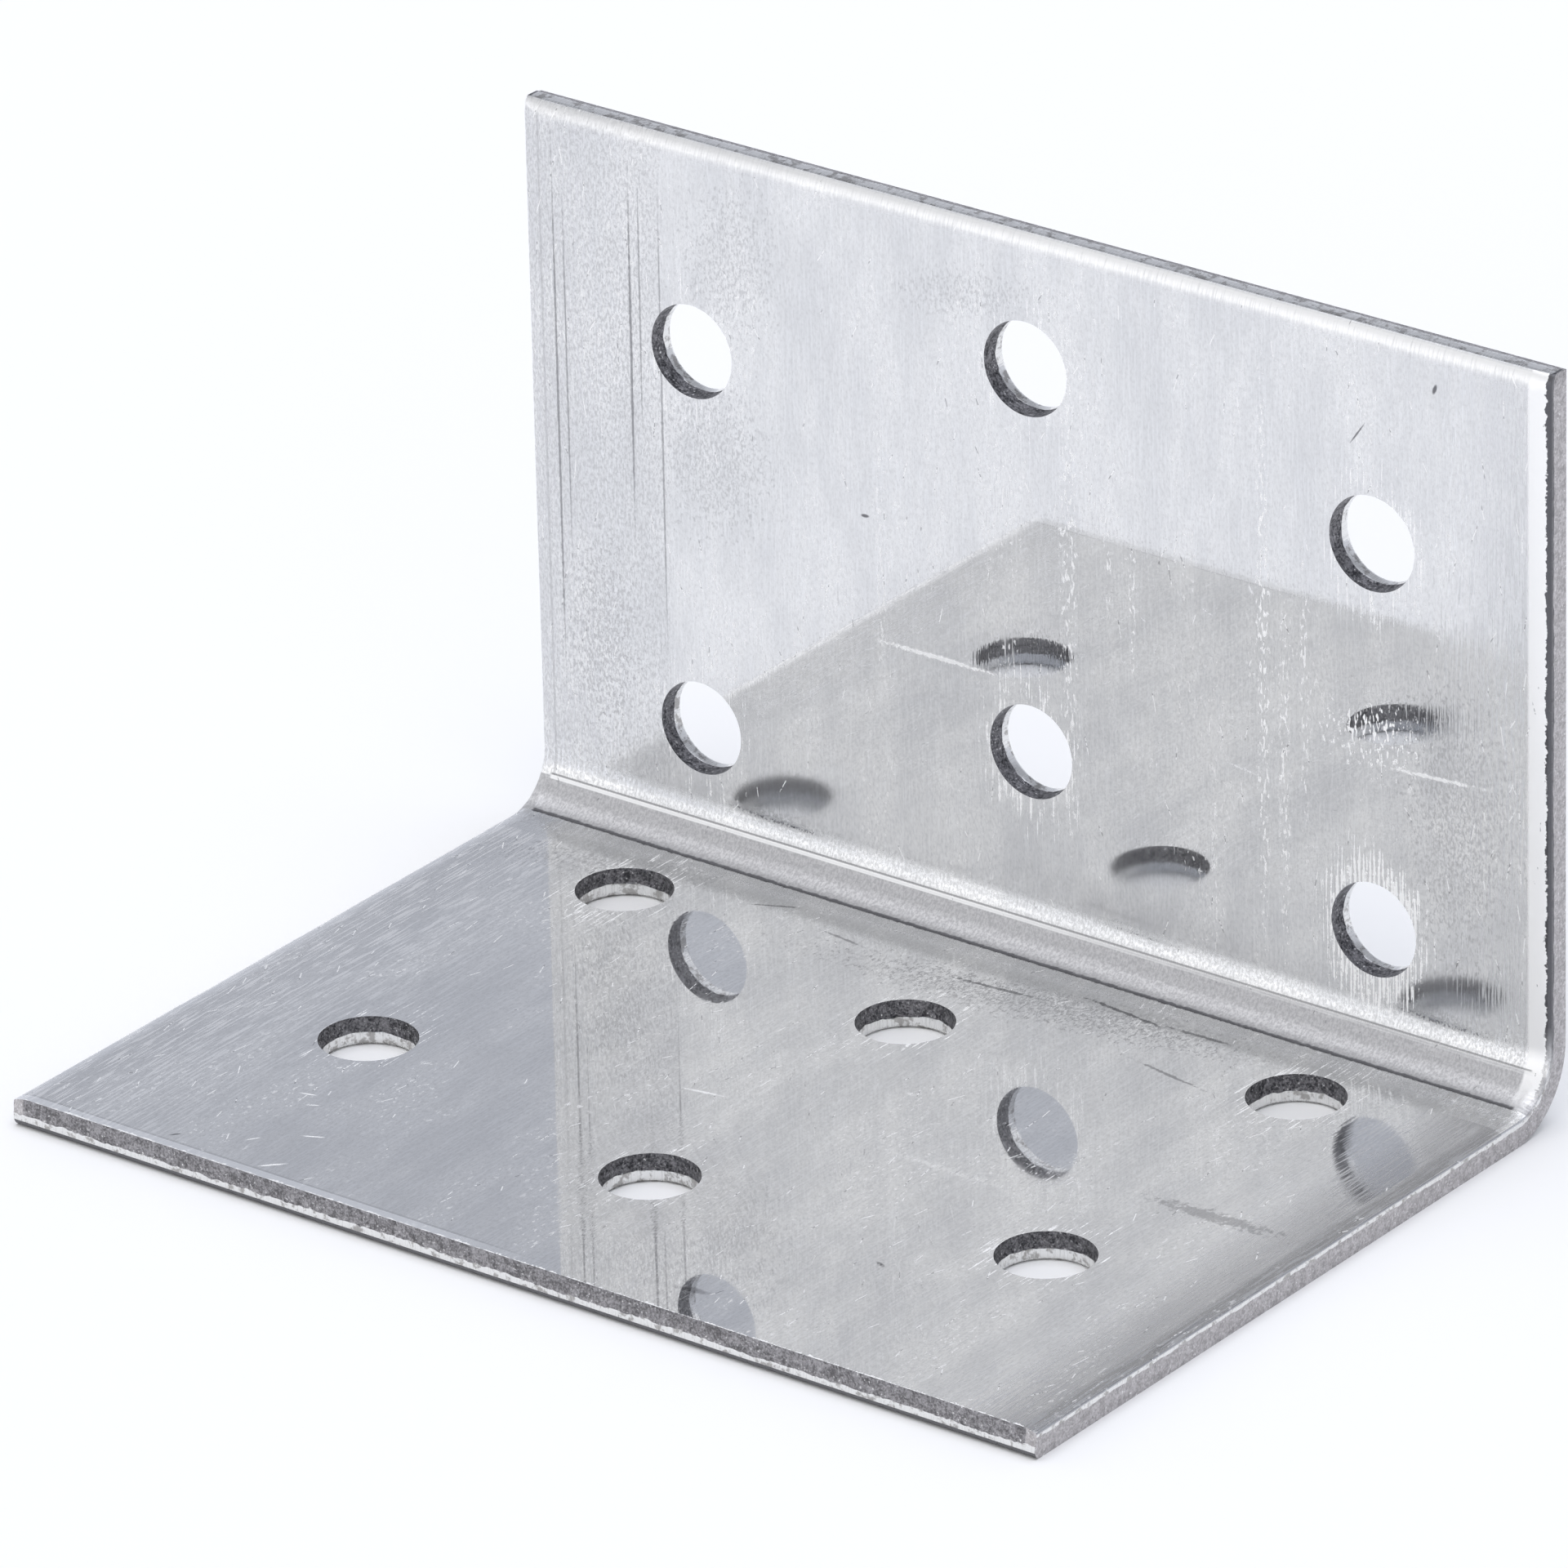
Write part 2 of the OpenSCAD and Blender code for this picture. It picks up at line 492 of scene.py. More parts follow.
def cell_mesh(seed):
    """The square cell of sheet round one hole, laid out flat, with its centre at u = s = 0."""
    mesh = Mesh()
    add_face_rings(mesh, 0.0, INNER_RINGS)
    add_face_rings(mesh, SHEET_T, OUTER_RINGS)
    turns = circle_turns(RIM_STEPS)
    arc = turns * HOLE_R
    whole = 2 * math.pi * HOLE_R
    rows = []
    zones = []

    # The noise is blended into its own start, so that what it makes closes on itself
    blend = np.arange(RIM_STEPS) / RIM_STEPS

    def closed(noise):
        return noise(arc) * (1 - blend) + noise(arc - whole) * blend

    def add_row(radius, depth, zone):
        places = zip(turns, radius + 0 * turns, depth + 0 * turns)
        rows.append([(r * math.cos(a), r * math.sin(a), t) for a, r, t in places])
        zones.append(zone)

    border = HOLE_BREAK_H + HOLE_WANDER * closed(lambda x: jag(x, seed))
    for k in range(BREAK_ROWS):
        part = k / BREAK_ROWS
        depth = border * part
        crumble = HOLE_CRUMBLE * closed(lambda x: rough(x, depth, seed)) * min(1, CRUMBLE_IN * part)
        add_row(HOLE_R + HOLE_BREAK_W * (1 - part) + crumble, depth, ZONE_BREAK)
    land_end = SHEET_T - RIM_R
    for k in range(LAND_ROWS + 1):
        add_row(HOLE_R, border + (land_end - border) * k / LAND_ROWS, ZONE_LAND)
    for k in range(1, RIM_ROWS + 1):
        lean = k / RIM_ROWS * math.pi / 2
        add_row(HOLE_R + RIM_R * (1 - math.cos(lean)), land_end + RIM_R * math.sin(lean), ZONE_LAND)
    mesh.grid(rows, zones, closed=True)
    return mesh


class Tree:
    """Short calls for building a node tree."""

    def __init__(self, tree):
        self.tree = tree

    def node(self, kind, inputs=None, **settings):
        made = self.tree.nodes.new(kind)
        for name, value in settings.items():
            setattr(made, name, value)
        for key, value in (inputs or {}).items():
            socket = made.inputs[key]
            if isinstance(value, bpy.types.NodeSocket):
                self.tree.links.new(value, socket)
            else:
                socket.default_value = value
        return made

    def link(self, a, b):
        self.tree.links.new(a, b)

    def math(self, operation, a, b=0.0, c=None, clamp=False):
        inputs = {0: a, 1: b}
        if c is not None:
            inputs[2] = c
        return self.node("ShaderNodeMath", inputs, operation=operation, use_clamp=clamp).outputs[0]

    def split(self, vector):
        return self.node("ShaderNodeSeparateXYZ", {0: vector}).outputs

    def joined(self, **parts):
        return self.node("ShaderNodeCombineXYZ", parts).outputs[0]


class ShaderTree(Tree):
    """Short calls for the shader nodes that recur."""

    def times(self, *values):
        """The product of all values."""
        return reduce(lambda a, b: self.math("MULTIPLY", a, b), values)

    def most(self, *values):
        """The greatest of all values."""
        return reduce(lambda a, b: self.math("MAXIMUM", a, b), values)

    def less(self, value):
        """What value leaves of 1."""
        return self.math("SUBTRACT", 1.0, value)

    def mix(self, share, a, b):
        return self.node("ShaderNodeMix", {0: share, 2: a, 3: b}).outputs[0]

    def blend(self, share, a, b):
        """Mixes two colours."""
        ends = [end if isinstance(end, bpy.types.NodeSocket) else (*end, 1) for end in (a, b)]
        return self.node("ShaderNodeMix", {0: share, 6: ends[0], 7: ends[1]}, data_type="RGBA").outputs[2]

    def ease(self, value, low, high):
        """0 below low, 1 above high and smooth between."""
        inputs = {"Value": value, "From Min": low, "From Max": high}
        return self.node("ShaderNodeMapRange", inputs, interpolation_type="SMOOTHSTEP").outputs[0]

    def band(self, value, low, high, soft):
        """1 between low and high, 0 outside."""
        return self.times(self.ease(value, low - soft, low + soft),
                          self.less(self.ease(value, high - soft, high + soft)))

    def line(self, value, centre, inner, outer):
        """1 within inner of centre, 0 beyond outer."""
        away = self.math("ABSOLUTE", self.math("SUBTRACT", value, centre))
        return self.less(self.ease(away, inner, outer))

    def vector(self, operation, a, b, output=0):
        return self.node("ShaderNodeVectorMath", {0: a, 1: b}, operation=operation).outputs[output]

    def scaled(self, vector, x, y, z=1.0):
        return self.vector("MULTIPLY", vector, (x, y, z))

    def noise(self, vector, detail=2.0, roughness=0.5, scale=1.0, dimensions="2D"):
        inputs = {"Vector": vector, "Scale": scale, "Detail": detail, "Roughness": roughness}
        return self.node("ShaderNodeTexNoise", inputs, noise_dimensions=dimensions).outputs["Fac"]

    def attribute(self, name):
        return self.node("ShaderNodeAttribute", attribute_name=name).outputs["Fac"]

    def bump(self, height, distance, strength):
        """Bent normals. distance is in millimetres."""
        inputs = {"Height": height, "Distance": distance * MM, "Strength": strength}
        return self.node("ShaderNodeBump", inputs).outputs[0]

    def group(self, group, **inputs):
        return self.node("ShaderNodeGroup", inputs, node_tree=group).outputs


def shader_group(name, inputs, outputs, build):
    """A node group with named sockets. build returns its outputs' values in order."""
    tree = bpy.data.node_groups.new(name, "ShaderNodeTree")
    for label, kind, value in inputs:
        socket = tree.interface.new_socket(label, in_out="INPUT", socket_type="NodeSocket" + kind)
        if value is not None:
            socket.default_value = value
    for label in outputs:
        tree.interface.new_socket(label, in_out="OUTPUT", socket_type="NodeSocketFloat")
    t = ShaderTree(tree)
    values = build(t, t.node("NodeGroupInput").outputs)
    end = t.node("NodeGroupOutput")
    for socket, value in zip(end.inputs, values):
        t.link(value, socket)
    return tree


def grain_group():
    """Fine lines drawn out along one way, as rolling leaves them."""
    def build(t, start):
        place = t.vector("MULTIPLY", start["Place"], t.joined(X=start["Across"], Y=start["Along"]))
        field = t.noise(place, 1.0, 0.62)
        low = t.math("SUBTRACT", 0.74, t.times(start["Cover"], 0.5))
        return t.ease(field, low, t.math("ADD", low, 0.07)), field

    inputs = [("Place", "Vector", None), ("Across", "Float", 9.0), ("Along", "Float", 0.4),
              ("Cover", "Float", 0.4)]
    return shader_group("rolling grain", inputs, ["Lines", "Height"], build)


def scratch_group():
    """Short scratches, one at most to a cell, turned at random by up to Spread."""
    def build(t, start):
        shrinking = {0: start["Place"], "Scale": t.math("DIVIDE", 1.0, start["Cell"])}
        shrunk = t.node("ShaderNodeVectorMath", shrinking, operation="SCALE").outputs[0]
        sorting = {"Vector": shrunk, "Scale": 1.0}
        cells = t.node("ShaderNodeTexVoronoi", sorting, voronoi_dimensions="2D").outputs
        away = t.vector("SUBTRACT", shrunk, cells["Position"])
        dice = t.node("ShaderNodeSeparateColor", {0: cells["Color"]}).outputs
        angle = t.times(t.math("SUBTRACT", dice[0], 0.5), start["Spread"])
        turned = t.node("ShaderNodeVectorRotate", {"Vector": away, "Angle": angle}, rotation_type="Z_AXIS")
        parts = t.split(turned.outputs[0])
        across = t.times(t.math("ABSOLUTE", parts["X"]), start["Cell"])
        along = t.math("ABSOLUTE", parts["Y"])
        half = t.math("MULTIPLY_ADD", dice[1], 0.3, 0.12)
        thin = t.less(t.ease(across, t.times(start["Width"], 0.3), start["Width"]))
        short = t.less(t.ease(along, t.times(half, 0.6), half))
        drawn = t.ease(t.math("SUBTRACT", start["Chance"], dice[2]), 0.0, 0.02)
        return [t.times(thin, short, drawn)]

    inputs = [("Place", "Vector", None), ("Cell", "Float", 2.0), ("Width", "Float", 0.05),
              ("Spread", "Float", 0.5), ("Chance", "Float", 0.5)]
    return shader_group("short scratches", inputs, ["Mask"], build)


def mark_group():
    """One mark: an ellipse about Centre. Across and Along are its axes, each divided by its half length."""
    def build(t, start):
        away = t.vector("SUBTRACT", start["Place"], start["Centre"])
        x = t.vector("DOT_PRODUCT", away, start["Across"], "Value")
        y = t.vector("DOT_PRODUCT", away, start["Along"], "Value")
        length = t.node("ShaderNodeVectorMath", {0: t.joined(X=x, Y=y)}, operation="LENGTH").outputs["Value"]
        torn = t.math("MULTIPLY_ADD", start["Torn"], start["Ragged"], length)
        fade = {"Value": torn, "From Min": 0.45, "From Max": 1.0, "To Min": start["Strength"], "To Max": 0.0}
        return [t.node("ShaderNodeMapRange", fade, interpolation_type="SMOOTHSTEP").outputs[0]]

    inputs = [("Place", "Vector", None), ("Torn", "Float", 0.0), ("Centre", "Vector", None),
              ("Across", "Vector", None), ("Along", "Vector", None), ("Ragged", "Float", 0.6),
              ("Strength", "Float", 1.0)]
    return shader_group("mark", inputs, ["Mask"], build)


# Marks seen in the photo: u, s, angle in degrees, length, width, raggedness, strength
DARK_MARKS = [
    (-28.3, 62.0, 0, 17.0, 0.09, 0.5, 0.6),
    (-27.7, 64.0, 0, 12.0, 0.07, 0.6, 0.5),
    (-23.7, 66.0, 0.3, 11.0, 0.10, 0.5, 0.65),
    (-23.1, 69.0, 0.3, 8.0, 0.07, 0.6, 0.5),
    (-21.9, 63.0, 0.2, 15.0, 0.08, 0.5, 0.5),
    (23.6, 75.9, 20, 0.35, 0.14, 0.2, 0.9),
    (-9.7, 61.1, 85, 0.32, 0.12, 0.2, 0.9),
    (19.2, 72.6, 35, 0.9, 0.06, 0.6, 0.8),
    (-21.1, 1.3, 40, 0.35, 0.09, 0.3, 0.8),
    (24.2, 22.1, 88, 4.2, 0.6, 2.2, 0.42),
    (8.7, 2.35, 82, 1.2, 0.35, 0.5, 0.45),
    (-12.8, 37.2, 65, 1.6, 0.09, 1.0, 0.7),
    (1.2, 35.9, 85, 3.2, 0.14, 1.6, 0.7),
    (8.2, 37.2, 97, 3.0, 0.16, 1.6, 0.8),
    (12.5, 37.2, 88, 2.2, 0.16, 1.4, 0.7),
    (13.5, 33.0, 100, 2.6, 0.13, 1.8, 0.6),
    (-7.8, 36.1, 97, 1.6, 0.12, 1.2, 0.6),
]
SMUDGES = [
    (-17.5, 72.5, 10, 4.5, 3.0, 2.6, 0.45),
    (-26.0, 50.5, 0, 6.5, 2.6, 2.6, 0.7),
    (-19.0, 62.0, 5, 4.6, 4.0, 2.6, 0.5),
    (-3.5, 74.2, 80, 4.6, 1.4, 2.4, 0.4),
    (-25.0, 66.0, 0, 9.0, 3.0, 2.6, 0.5),
    (25.0, 54.0, 0, 8.0, 3.4, 2.4, 0.5),
    (-22.5, 36.3, 75, 7.0, 1.6, 2.4, 0.55),
    (4.0, 35.6, 85, 13.0, 2.0, 2.6, 0.7),
]
TRACKS = [
    (13.7, 59.0, 0, 18.0, 0.42, 1.4, 1.0),
    (14.9, 53.0, 0, 10.0, 0.4, 1.4, 0.9),
    (16.1, 58.0, 0, 9.0, 0.3, 1.4, 0.8),
    (2.4, 60.0, 0, 15.0, 0.6, 1.6, 0.8),
    (6.1, 60.5, 0, 4.5, 0.25, 1.2, 0.9),
    (4.7, 63.0, 0, 5.0, 0.25, 1.2, 0.7),
    (10.8, 48.0, 0, 6.0, 0.25, 1.4, 0.7),
    (-8.8, 60.0, 0, 9.0, 0.4, 1.6, 0.5),
    (20.0, 57.2, 90, 3.2, 1.8, 2.2, 1.0),
]
BRIGHT_MARKS = [
    (-5.4, 54.7, 90, 4.3, 0.16, 1.5, 0.8),
    (23.4, 56.0, 87, 3.3, 0.14, 1.6, 0.8),
    (-3.3, 19.0, 80, 1.6, 0.12, 1.4, 0.8),
    (-18.6, 8.2, 75, 0.55, 0.07, 0.5, 1.0),
    (-17.7, 7.4, 60, 0.45, 0.06, 0.5, 0.9),
    (-15.6, 4.8, 65, 0.7, 0.08, 0.5, 1.0),
    (-15.3, 1.4, 45, 0.8, 0.1, 0.6, 1.0),
    (-17.8, 3.0, 35, 0.5, 0.06, 0.5, 0.9),
]

# The strip's faces are shaded in three stretches, each from one s to another
FOLD_FROM = BASE_FLAT - 1.8
FOLD_TO = UPRIGHT_S + 1.5
STRETCHES = {"base": (0.0, FOLD_FROM), "fold": (FOLD_FROM, FOLD_TO), "upright": (FOLD_TO, STRIP_L)}

# Length of strip that the UV map's unit square spans
UV_SPAN = 100.0

# Colours of the sheet's faces
ZINC_SHADE = (0.71, 0.716, 0.729)
ZINC_LIGHT = (0.82, 0.822, 0.825)
MOTTLED = (0.62, 0.62, 0.625)
STREAKED = (0.9, 0.91, 0.93)
BRUSHED = (0.56, 0.56, 0.57)
# Painted shade lines along the left band's inner border and behind the base leg's front band
PAINTED_BORDER_SHADE = (0.4, 0.4, 0.41)
FLUTE_LIGHT = (0.7, 0.695, 0.705)
FLUTE_SHADE = (0.5, 0.495, 0.51)
DULLED = (0.45, 0.45, 0.46)
# Painted shade over the flute, darkest at its foot
PAINTED_FLUTE_SHADE = (0.3, 0.3, 0.31)
# Painted shade along the base leg's right slit edge
PAINTED_RIGHT_SHADE = (0.42, 0.42, 0.43)
# Painted highlight along the base leg's cropped end
PAINTED_FRONT_HIGHLIGHT = (0.93, 0.94, 0.96)
# White of the scratches and scrapes, and of the painted highlights
SCRATCH_AND_HIGHLIGHT_WHITE = (0.96, 0.96, 0.96)
# Dark of the gouges and nicks, and of the painted shade in the crease, behind the lip, at the upright's right
# edge and under the base leg's end
GOUGES_AND_PAINTED_SHADE = (0.12, 0.12, 0.13)

# Colours of the lands
LAND_LIGHT = (0.82, 0.82, 0.815)
LAND_LINES = (0.5, 0.5, 0.5)
LAND_WORN = (0.42, 0.41, 0.40)
# Painted shade on the lands that face the fold
LAND_FACING_SHADE = (0.36, 0.38, 0.42)
# Painted shade on the upright leg's slit-edge land
LAND_SLIT_SHADE = (0.1, 0.1, 0.11)

# Colours of the breaks: hollows, grit and glints, in the holes and where a break is pale
HOLLOW = (0.045, 0.045, 0.05)
PALE_HOLLOW = (0.36, 0.345, 0.35)
GRIT = (0.30, 0.295, 0.31)
PALE_GRIT = (0.62, 0.60, 0.61)
GLINT = (0.9, 0.9, 0.9)


def marks(t, m, group, rows):
    """The strongest of the marks that lie within the stretch."""
    low, high = m.reach
    result = 0.0
    for u, s, angle, length, width, ragged, strength in rows:
        if s + length < low or s - length > high:
            continue
        turn = math.radians(angle)
        across = (math.cos(turn) / width, -math.sin(turn) / width, 0)
        along = (math.sin(turn) / length, math.cos(turn) / length, 0)
        mask = t.group(group, Place=m.seen, Torn=m.torn, Centre=(u, s, 0), Across=across, Along=along,
                       Ragged=ragged, Strength=strength)["Mask"]
        result = t.most(result, mask)
    return result


def new_material(name):
    made = bpy.data.materials.new(name)
    made.use_nodes = True
    return made, ShaderTree(made.node_tree), made.node_tree.nodes["Principled BSDF"]


def strip_place(t):
    """Strip coordinates in millimetres, from the UV map."""
    uv = t.node("ShaderNodeUVMap", uv_map="strip_uv").outputs[0]
    return t.vector("ADD", t.scaled(uv, UV_SPAN, UV_SPAN), (-UV_SPAN / 2, 0.0, 0.0))


def object_place(t):
    """Object coordinates in millimetres."""
    return t.scaled(t.node("ShaderNodeTexCoord").outputs["Object"], 1 / MM, 1 / MM, 1 / MM)


def set_shader(t, shader, colour, roughness, normal, metallic=None):
    shader.inputs["Metallic"].default_value = 1.0
    values = {"Base Color": colour, "Roughness": roughness, "Normal": normal, "Metallic": metallic}
    for name, value in values.items():
        if value is not None:
            t.link(value, shader.inputs[name])


def sheet_masks(t, stretch):
    """Coordinates and masks of one stretch that the layers of its finish share."""
    m = SimpleNamespace(reach=STRETCHES[stretch])
    m.on_base = float(stretch == "base")
    m.on_fold = float(stretch == "fold")
    m.place = strip_place(t)
    m.u, m.s = t.split(m.place)[:2]
    m.edge = t.math("SUBTRACT", HALF, t.math("ABSOLUTE", m.u))
    m.near_hole = t.attribute("near_hole")
    m.depth = t.attribute("depth_mm")
    outer = t.ease(m.depth, 0.6, 0.9)
    m.inner = t.less(outer)
    m.in_flute = t.times(t.band(m.s, FLUTE_LOW, FLUTE_HIGH, 0.04), m.inner, m.on_fold)
    m.in_fold = t.times(t.band(m.s, BASE_FLAT - 0.5, UPRIGHT_S + 0.3, 0.8), m.on_fold)
    m.on_upright = t.ease(m.s, FLUTE_HIGH, FOLD_TO) if m.on_fold else float(stretch == "upright")
    m.rising = t.times(t.ease(m.s, BASE_FLAT, UPRIGHT_S - 1.5) if m.on_fold else m.on_upright, m.inner)
    # The single marks are on the inner face: places on the outer one are moved away from them
    m.seen = t.vector("ADD", m.place, t.joined(X=t.times(outer, 2 * WIDTH)))
    return m


def add_brushing(t, m, groups):
    """How brushed the face is: clear in the middle, hazy near the slit edges, the holes and in patches."""
    m.broad = t.noise(t.scaled(m.place, 0.24, 0.08), 4.0, 0.68)
    m.sides = t.less(t.ease(m.edge, 1.0, 10.0))
    m.foot = t.times(m.on_upright, t.less(t.ease(m.s, UPRIGHT_S + 1.0, UPRIGHT_S + 6.0)))
    m.brushed = t.most(t.times(t.ease(m.broad, 0.5, 0.75), 0.4), t.times(m.sides, 0.8),
                       t.times(t.ease(m.near_hole, 0.5, 1.0), 0.5))
    m.lines = t.group(groups["grain"], Place=m.place, Across=8.0, Along=0.4, Cover=t.times(m.brushed, 0.62))
    drawn = t.group(groups["grain"], Place=m.place, Across=0.7, Along=8.0, Cover=0.6)
    m.mottle = t.noise(t.scaled(m.place, 7.0, 3.5), 2.0, 0.8)
    grain = t.mix(m.in_fold, m.lines["Lines"], t.ease(m.mottle, 0.35, 0.6))
    m.grain = t.mix(m.in_flute, grain, drawn["Lines"])


def add_scratches(t, m, groups):
    """Short scratches any way, thick at the sides, with rubbed tracks, the holes' halos and bright marks."""
    m.torn = t.math("SUBTRACT", t.noise(m.place, 2.0, 0.75, 2.6), 0.5)
    spread = t.ease(m.broad, 0.44, 0.66)
    thick = t.times(t.ease(m.sides, 0.5, 1.0), t.most(t.less(t.ease(m.u, -26.0, -18.0)), m.on_upright))
    chance = t.math("ADD", t.times(thick, 0.4), t.math("MULTIPLY_ADD", spread, 0.4, 0.1))
    m.short = t.group(groups["scratch"], Place=t.scaled(m.place, 1.1, 0.65), Cell=1.1, Width=0.038,
                      Spread=1.7, Chance=chance)["Mask"]
    m.pale = t.ease(m.torn, -0.1, -0.06)
    specks = t.ease(t.noise(t.scaled(m.place, 5.5, 1.7), 1.0, 0.75), 0.55, 0.64)
    flecks = t.times(t.ease(m.torn, 0.0, 0.12), spread, 0.5)
    tracks = t.times(t.most(marks(t, m, groups["mark"], TRACKS), flecks), specks)
    rim = t.attribute("rubbed_rim")
    halo = t.math("ADD", m.lines["Height"], t.math("MULTIPLY_ADD", rim, 0.42, t.times(m.torn, 0.4)))
    halo = t.times(t.ease(halo, 0.78, 0.92), t.ease(rim, 0.02, 0.3), m.inner)
    bright = marks(t, m, groups["mark"], BRIGHT_MARKS)
    m.scratches = t.times(t.most(t.times(m.short, m.pale, 0.85), tracks, halo, bright), t.less(m.in_flute))


def add_dull_places(t, m, groups):
    """A fine mottle everywhere, thicker in the smudges and on the upright's left border, and dark nicks."""
    left = t.times(t.ease(t.times(m.u, -1.0), 21.2, 22.4), m.on_upright)
    smudge = t.most(marks(t, m, groups["mark"], SMUDGES), t.times(left, 0.4))
    mottled = t.ease(t.math("MULTIPLY_ADD", smudge, 0.18, m.mottle), 0.46, 0.76)
    m.dull = t.math("MULTIPLY", mottled, t.math("MULTIPLY_ADD", smudge, 0.75, 0.2), clamp=True)
    nick = t.times(m.short, t.less(m.pale))
    m.dark = t.most(marks(t, m, groups["mark"], DARK_MARKS), t.times(nick, 0.6))


def add_fold_marks(t, m):
    """The fold: painted shade in the crease under the flute and over parts of the flute, a painted highlight
    on the lip over it and a painted shade line behind the lip.
    """
    worn = t.times(m.torn, 0.5)
    worn_s = t.math("ADD", m.s, worn)
    # Painted shade: a dark line in the crease at the flute's lower border
    crease = t.line(t.math("ADD", m.s, t.times(worn, 0.4)), FLUTE_LOW + CREASE_OFF, 0.08, 0.22)
    # Painted shade over the flute's foot by the crease and, weaker, over its upper part
    foot = t.less(t.ease(worn_s, FLUTE_LOW + 0.05, FLUTE_LOW + 0.85))
    upper = t.times(t.ease(worn_s, FLUTE_LOW + 1.1, FLUTE_LOW + 1.7), 0.6)
    m.shade = t.times(m.in_flute, t.most(foot, upper))
    fade = t.less(t.times(t.ease(m.u, -6.0, 14.0), 0.65))
    within = t.times(t.ease(m.edge, BAND_W * 0.8, BAND_W), m.inner, m.on_fold)
    # Painted highlight: a white line on the lip at the flute's upper border
    m.lip = t.times(t.line(m.s, FLUTE_HIGH - 0.06, 0.08, 0.17), fade, within)
    # Painted shade: a dark line behind the lip
    over = t.line(m.s, FLUTE_HIGH + 0.14, 0.03, 0.08)
    m.dark = t.most(m.dark, t.times(t.most(crease, t.times(over, 0.6)), within))


def add_edge_marks(t, m):
    """The bands along the edges: painted highlights at the right slit edge, the upright's top end and the
    base leg's cropped end, and painted shade lines and shadows beside them.
    """
    from_edge = t.math("MULTIPLY_ADD", m.torn, 0.35, m.edge)
    # Painted highlight: a white band just in from the upright's right slit edge, for the light that its
    # rolled band reflects
    right = t.times(t.ease(m.u, HALF - 1.25, HALF - 1.05), t.ease(from_edge, 0.2, 0.25))
    # Painted shade: a thin dark line at the very edge of the upright's right slit edge
    right_edge_shade = t.times(t.less(t.ease(from_edge, 0.19, 0.23)), t.ease(m.u, 0.0, 1.0), m.on_upright)
    # Painted highlight: a soft white line along the upright's top end
    above = t.ease(t.math("MULTIPLY_ADD", m.lines["Height"], 0.9, m.s), STRIP_L - 0.25, STRIP_L + 0.25)
    above = t.times(above, t.ease(m.s, STRIP_L - 0.02, STRIP_L - 0.12),
                    t.math("MULTIPLY_ADD", t.ease(m.u, -28.0, 10.0), 0.5, 0.45))
    m.rubbed = t.times(t.most(right, above), m.rising)
    # Painted shade: a dark line along the inner border of the left slit edge's band
    m.border = t.times(t.line(t.math("ADD", m.u, HALF), BAND_W + 0.06, 0.02, 0.1), m.rising)
    at_left = t.times(t.less(t.ease(m.u, -5.0, 3.0)), m.on_base)
    # Painted highlight: a pale band along the left part of the base leg's cropped end
    m.front = t.times(t.less(t.ease(m.s, 0.58, 0.66)), at_left)
    # Painted shade: a dark line behind the pale front band
    m.front_line = t.times(t.line(m.s, 0.7, 0.03, 0.08), at_left)
    # The burr at the base leg's cropped end, painted white as a highlight
    m.burr = t.times(t.less(t.ease(t.math("MULTIPLY_ADD", m.torn, 0.5, m.s), 0.11, 0.19)), m.on_base)
    # Painted shadow: the outer face's round at the base leg's cropped end is made dark where it meets the
    # floor
    under = t.times(t.ease(m.depth, 0.9, 1.0), t.less(t.ease(m.s, 0.3, 0.5)), m.on_base)
    m.dark = t.most(m.dark, under, right_edge_shade)


def add_streaks(t, m):
    """Light rolling streaks, and what was scraped bright along the base leg's left border. The white layer
    joins the scrapes with the scratches and the painted highlights.
    """
    streak = t.ease(m.lines["Height"], 0.52, 0.64)
    streaky = t.most(t.ease(m.sides, 0.15, 0.8), t.math("MULTIPLY_ADD", m.on_upright, -0.05, 0.3))
    m.streaks = t.times(streak, streaky)
    scraped = t.times(streak, t.ease(m.u, -18.0, -27.0), m.on_base * 0.3)
    # One white layer: real scratches and scrapes, and the painted highlights of the edges, the lip and the
    # burr
    m.white = t.most(m.scratches, m.rubbed, m.lip, m.burr, scraped)


def sheet_colour(t, m):
    """The sheet's colour, from its plain tone to the marks, painted shade and painted highlights over it."""
    colour = t.blend(t.ease(m.broad, 0.3, 0.7), ZINC_SHADE, ZINC_LIGHT)
    flute = t.blend(t.ease(m.mottle, 0.35, 0.65), FLUTE_LIGHT, FLUTE_SHADE)
    layers = [
        (t.times(t.ease(m.mottle, 0.3, 0.7), 0.35), MOTTLED),
        (m.streaks, STREAKED),
        (t.times(m.grain, t.math("MULTIPLY_ADD", m.sides, 0.2, 0.3)), BRUSHED),
        (t.times(t.most(m.border, m.front_line), 0.4), PAINTED_BORDER_SHADE),
        (t.times(m.in_flute, 0.9), flute),
        (m.dull, DULLED),
        (t.times(m.shade, 0.55), PAINTED_FLUTE_SHADE),
        # Painted shade darkening the base leg's last few millimetres towards its right slit edge
        (t.times(t.ease(m.u, HALF - 4.5, HALF - BAND_W), m.on_base * 0.6), PAINTED_RIGHT_SHADE),
        (t.times(m.front, 0.7), PAINTED_FRONT_HIGHLIGHT),
        (m.white, SCRATCH_AND_HIGHLIGHT_WHITE),
        (m.dark, GOUGES_AND_PAINTED_SHADE),
    ]
    for share, tone in layers:
        colour = t.blend(share, colour, tone)
    return colour


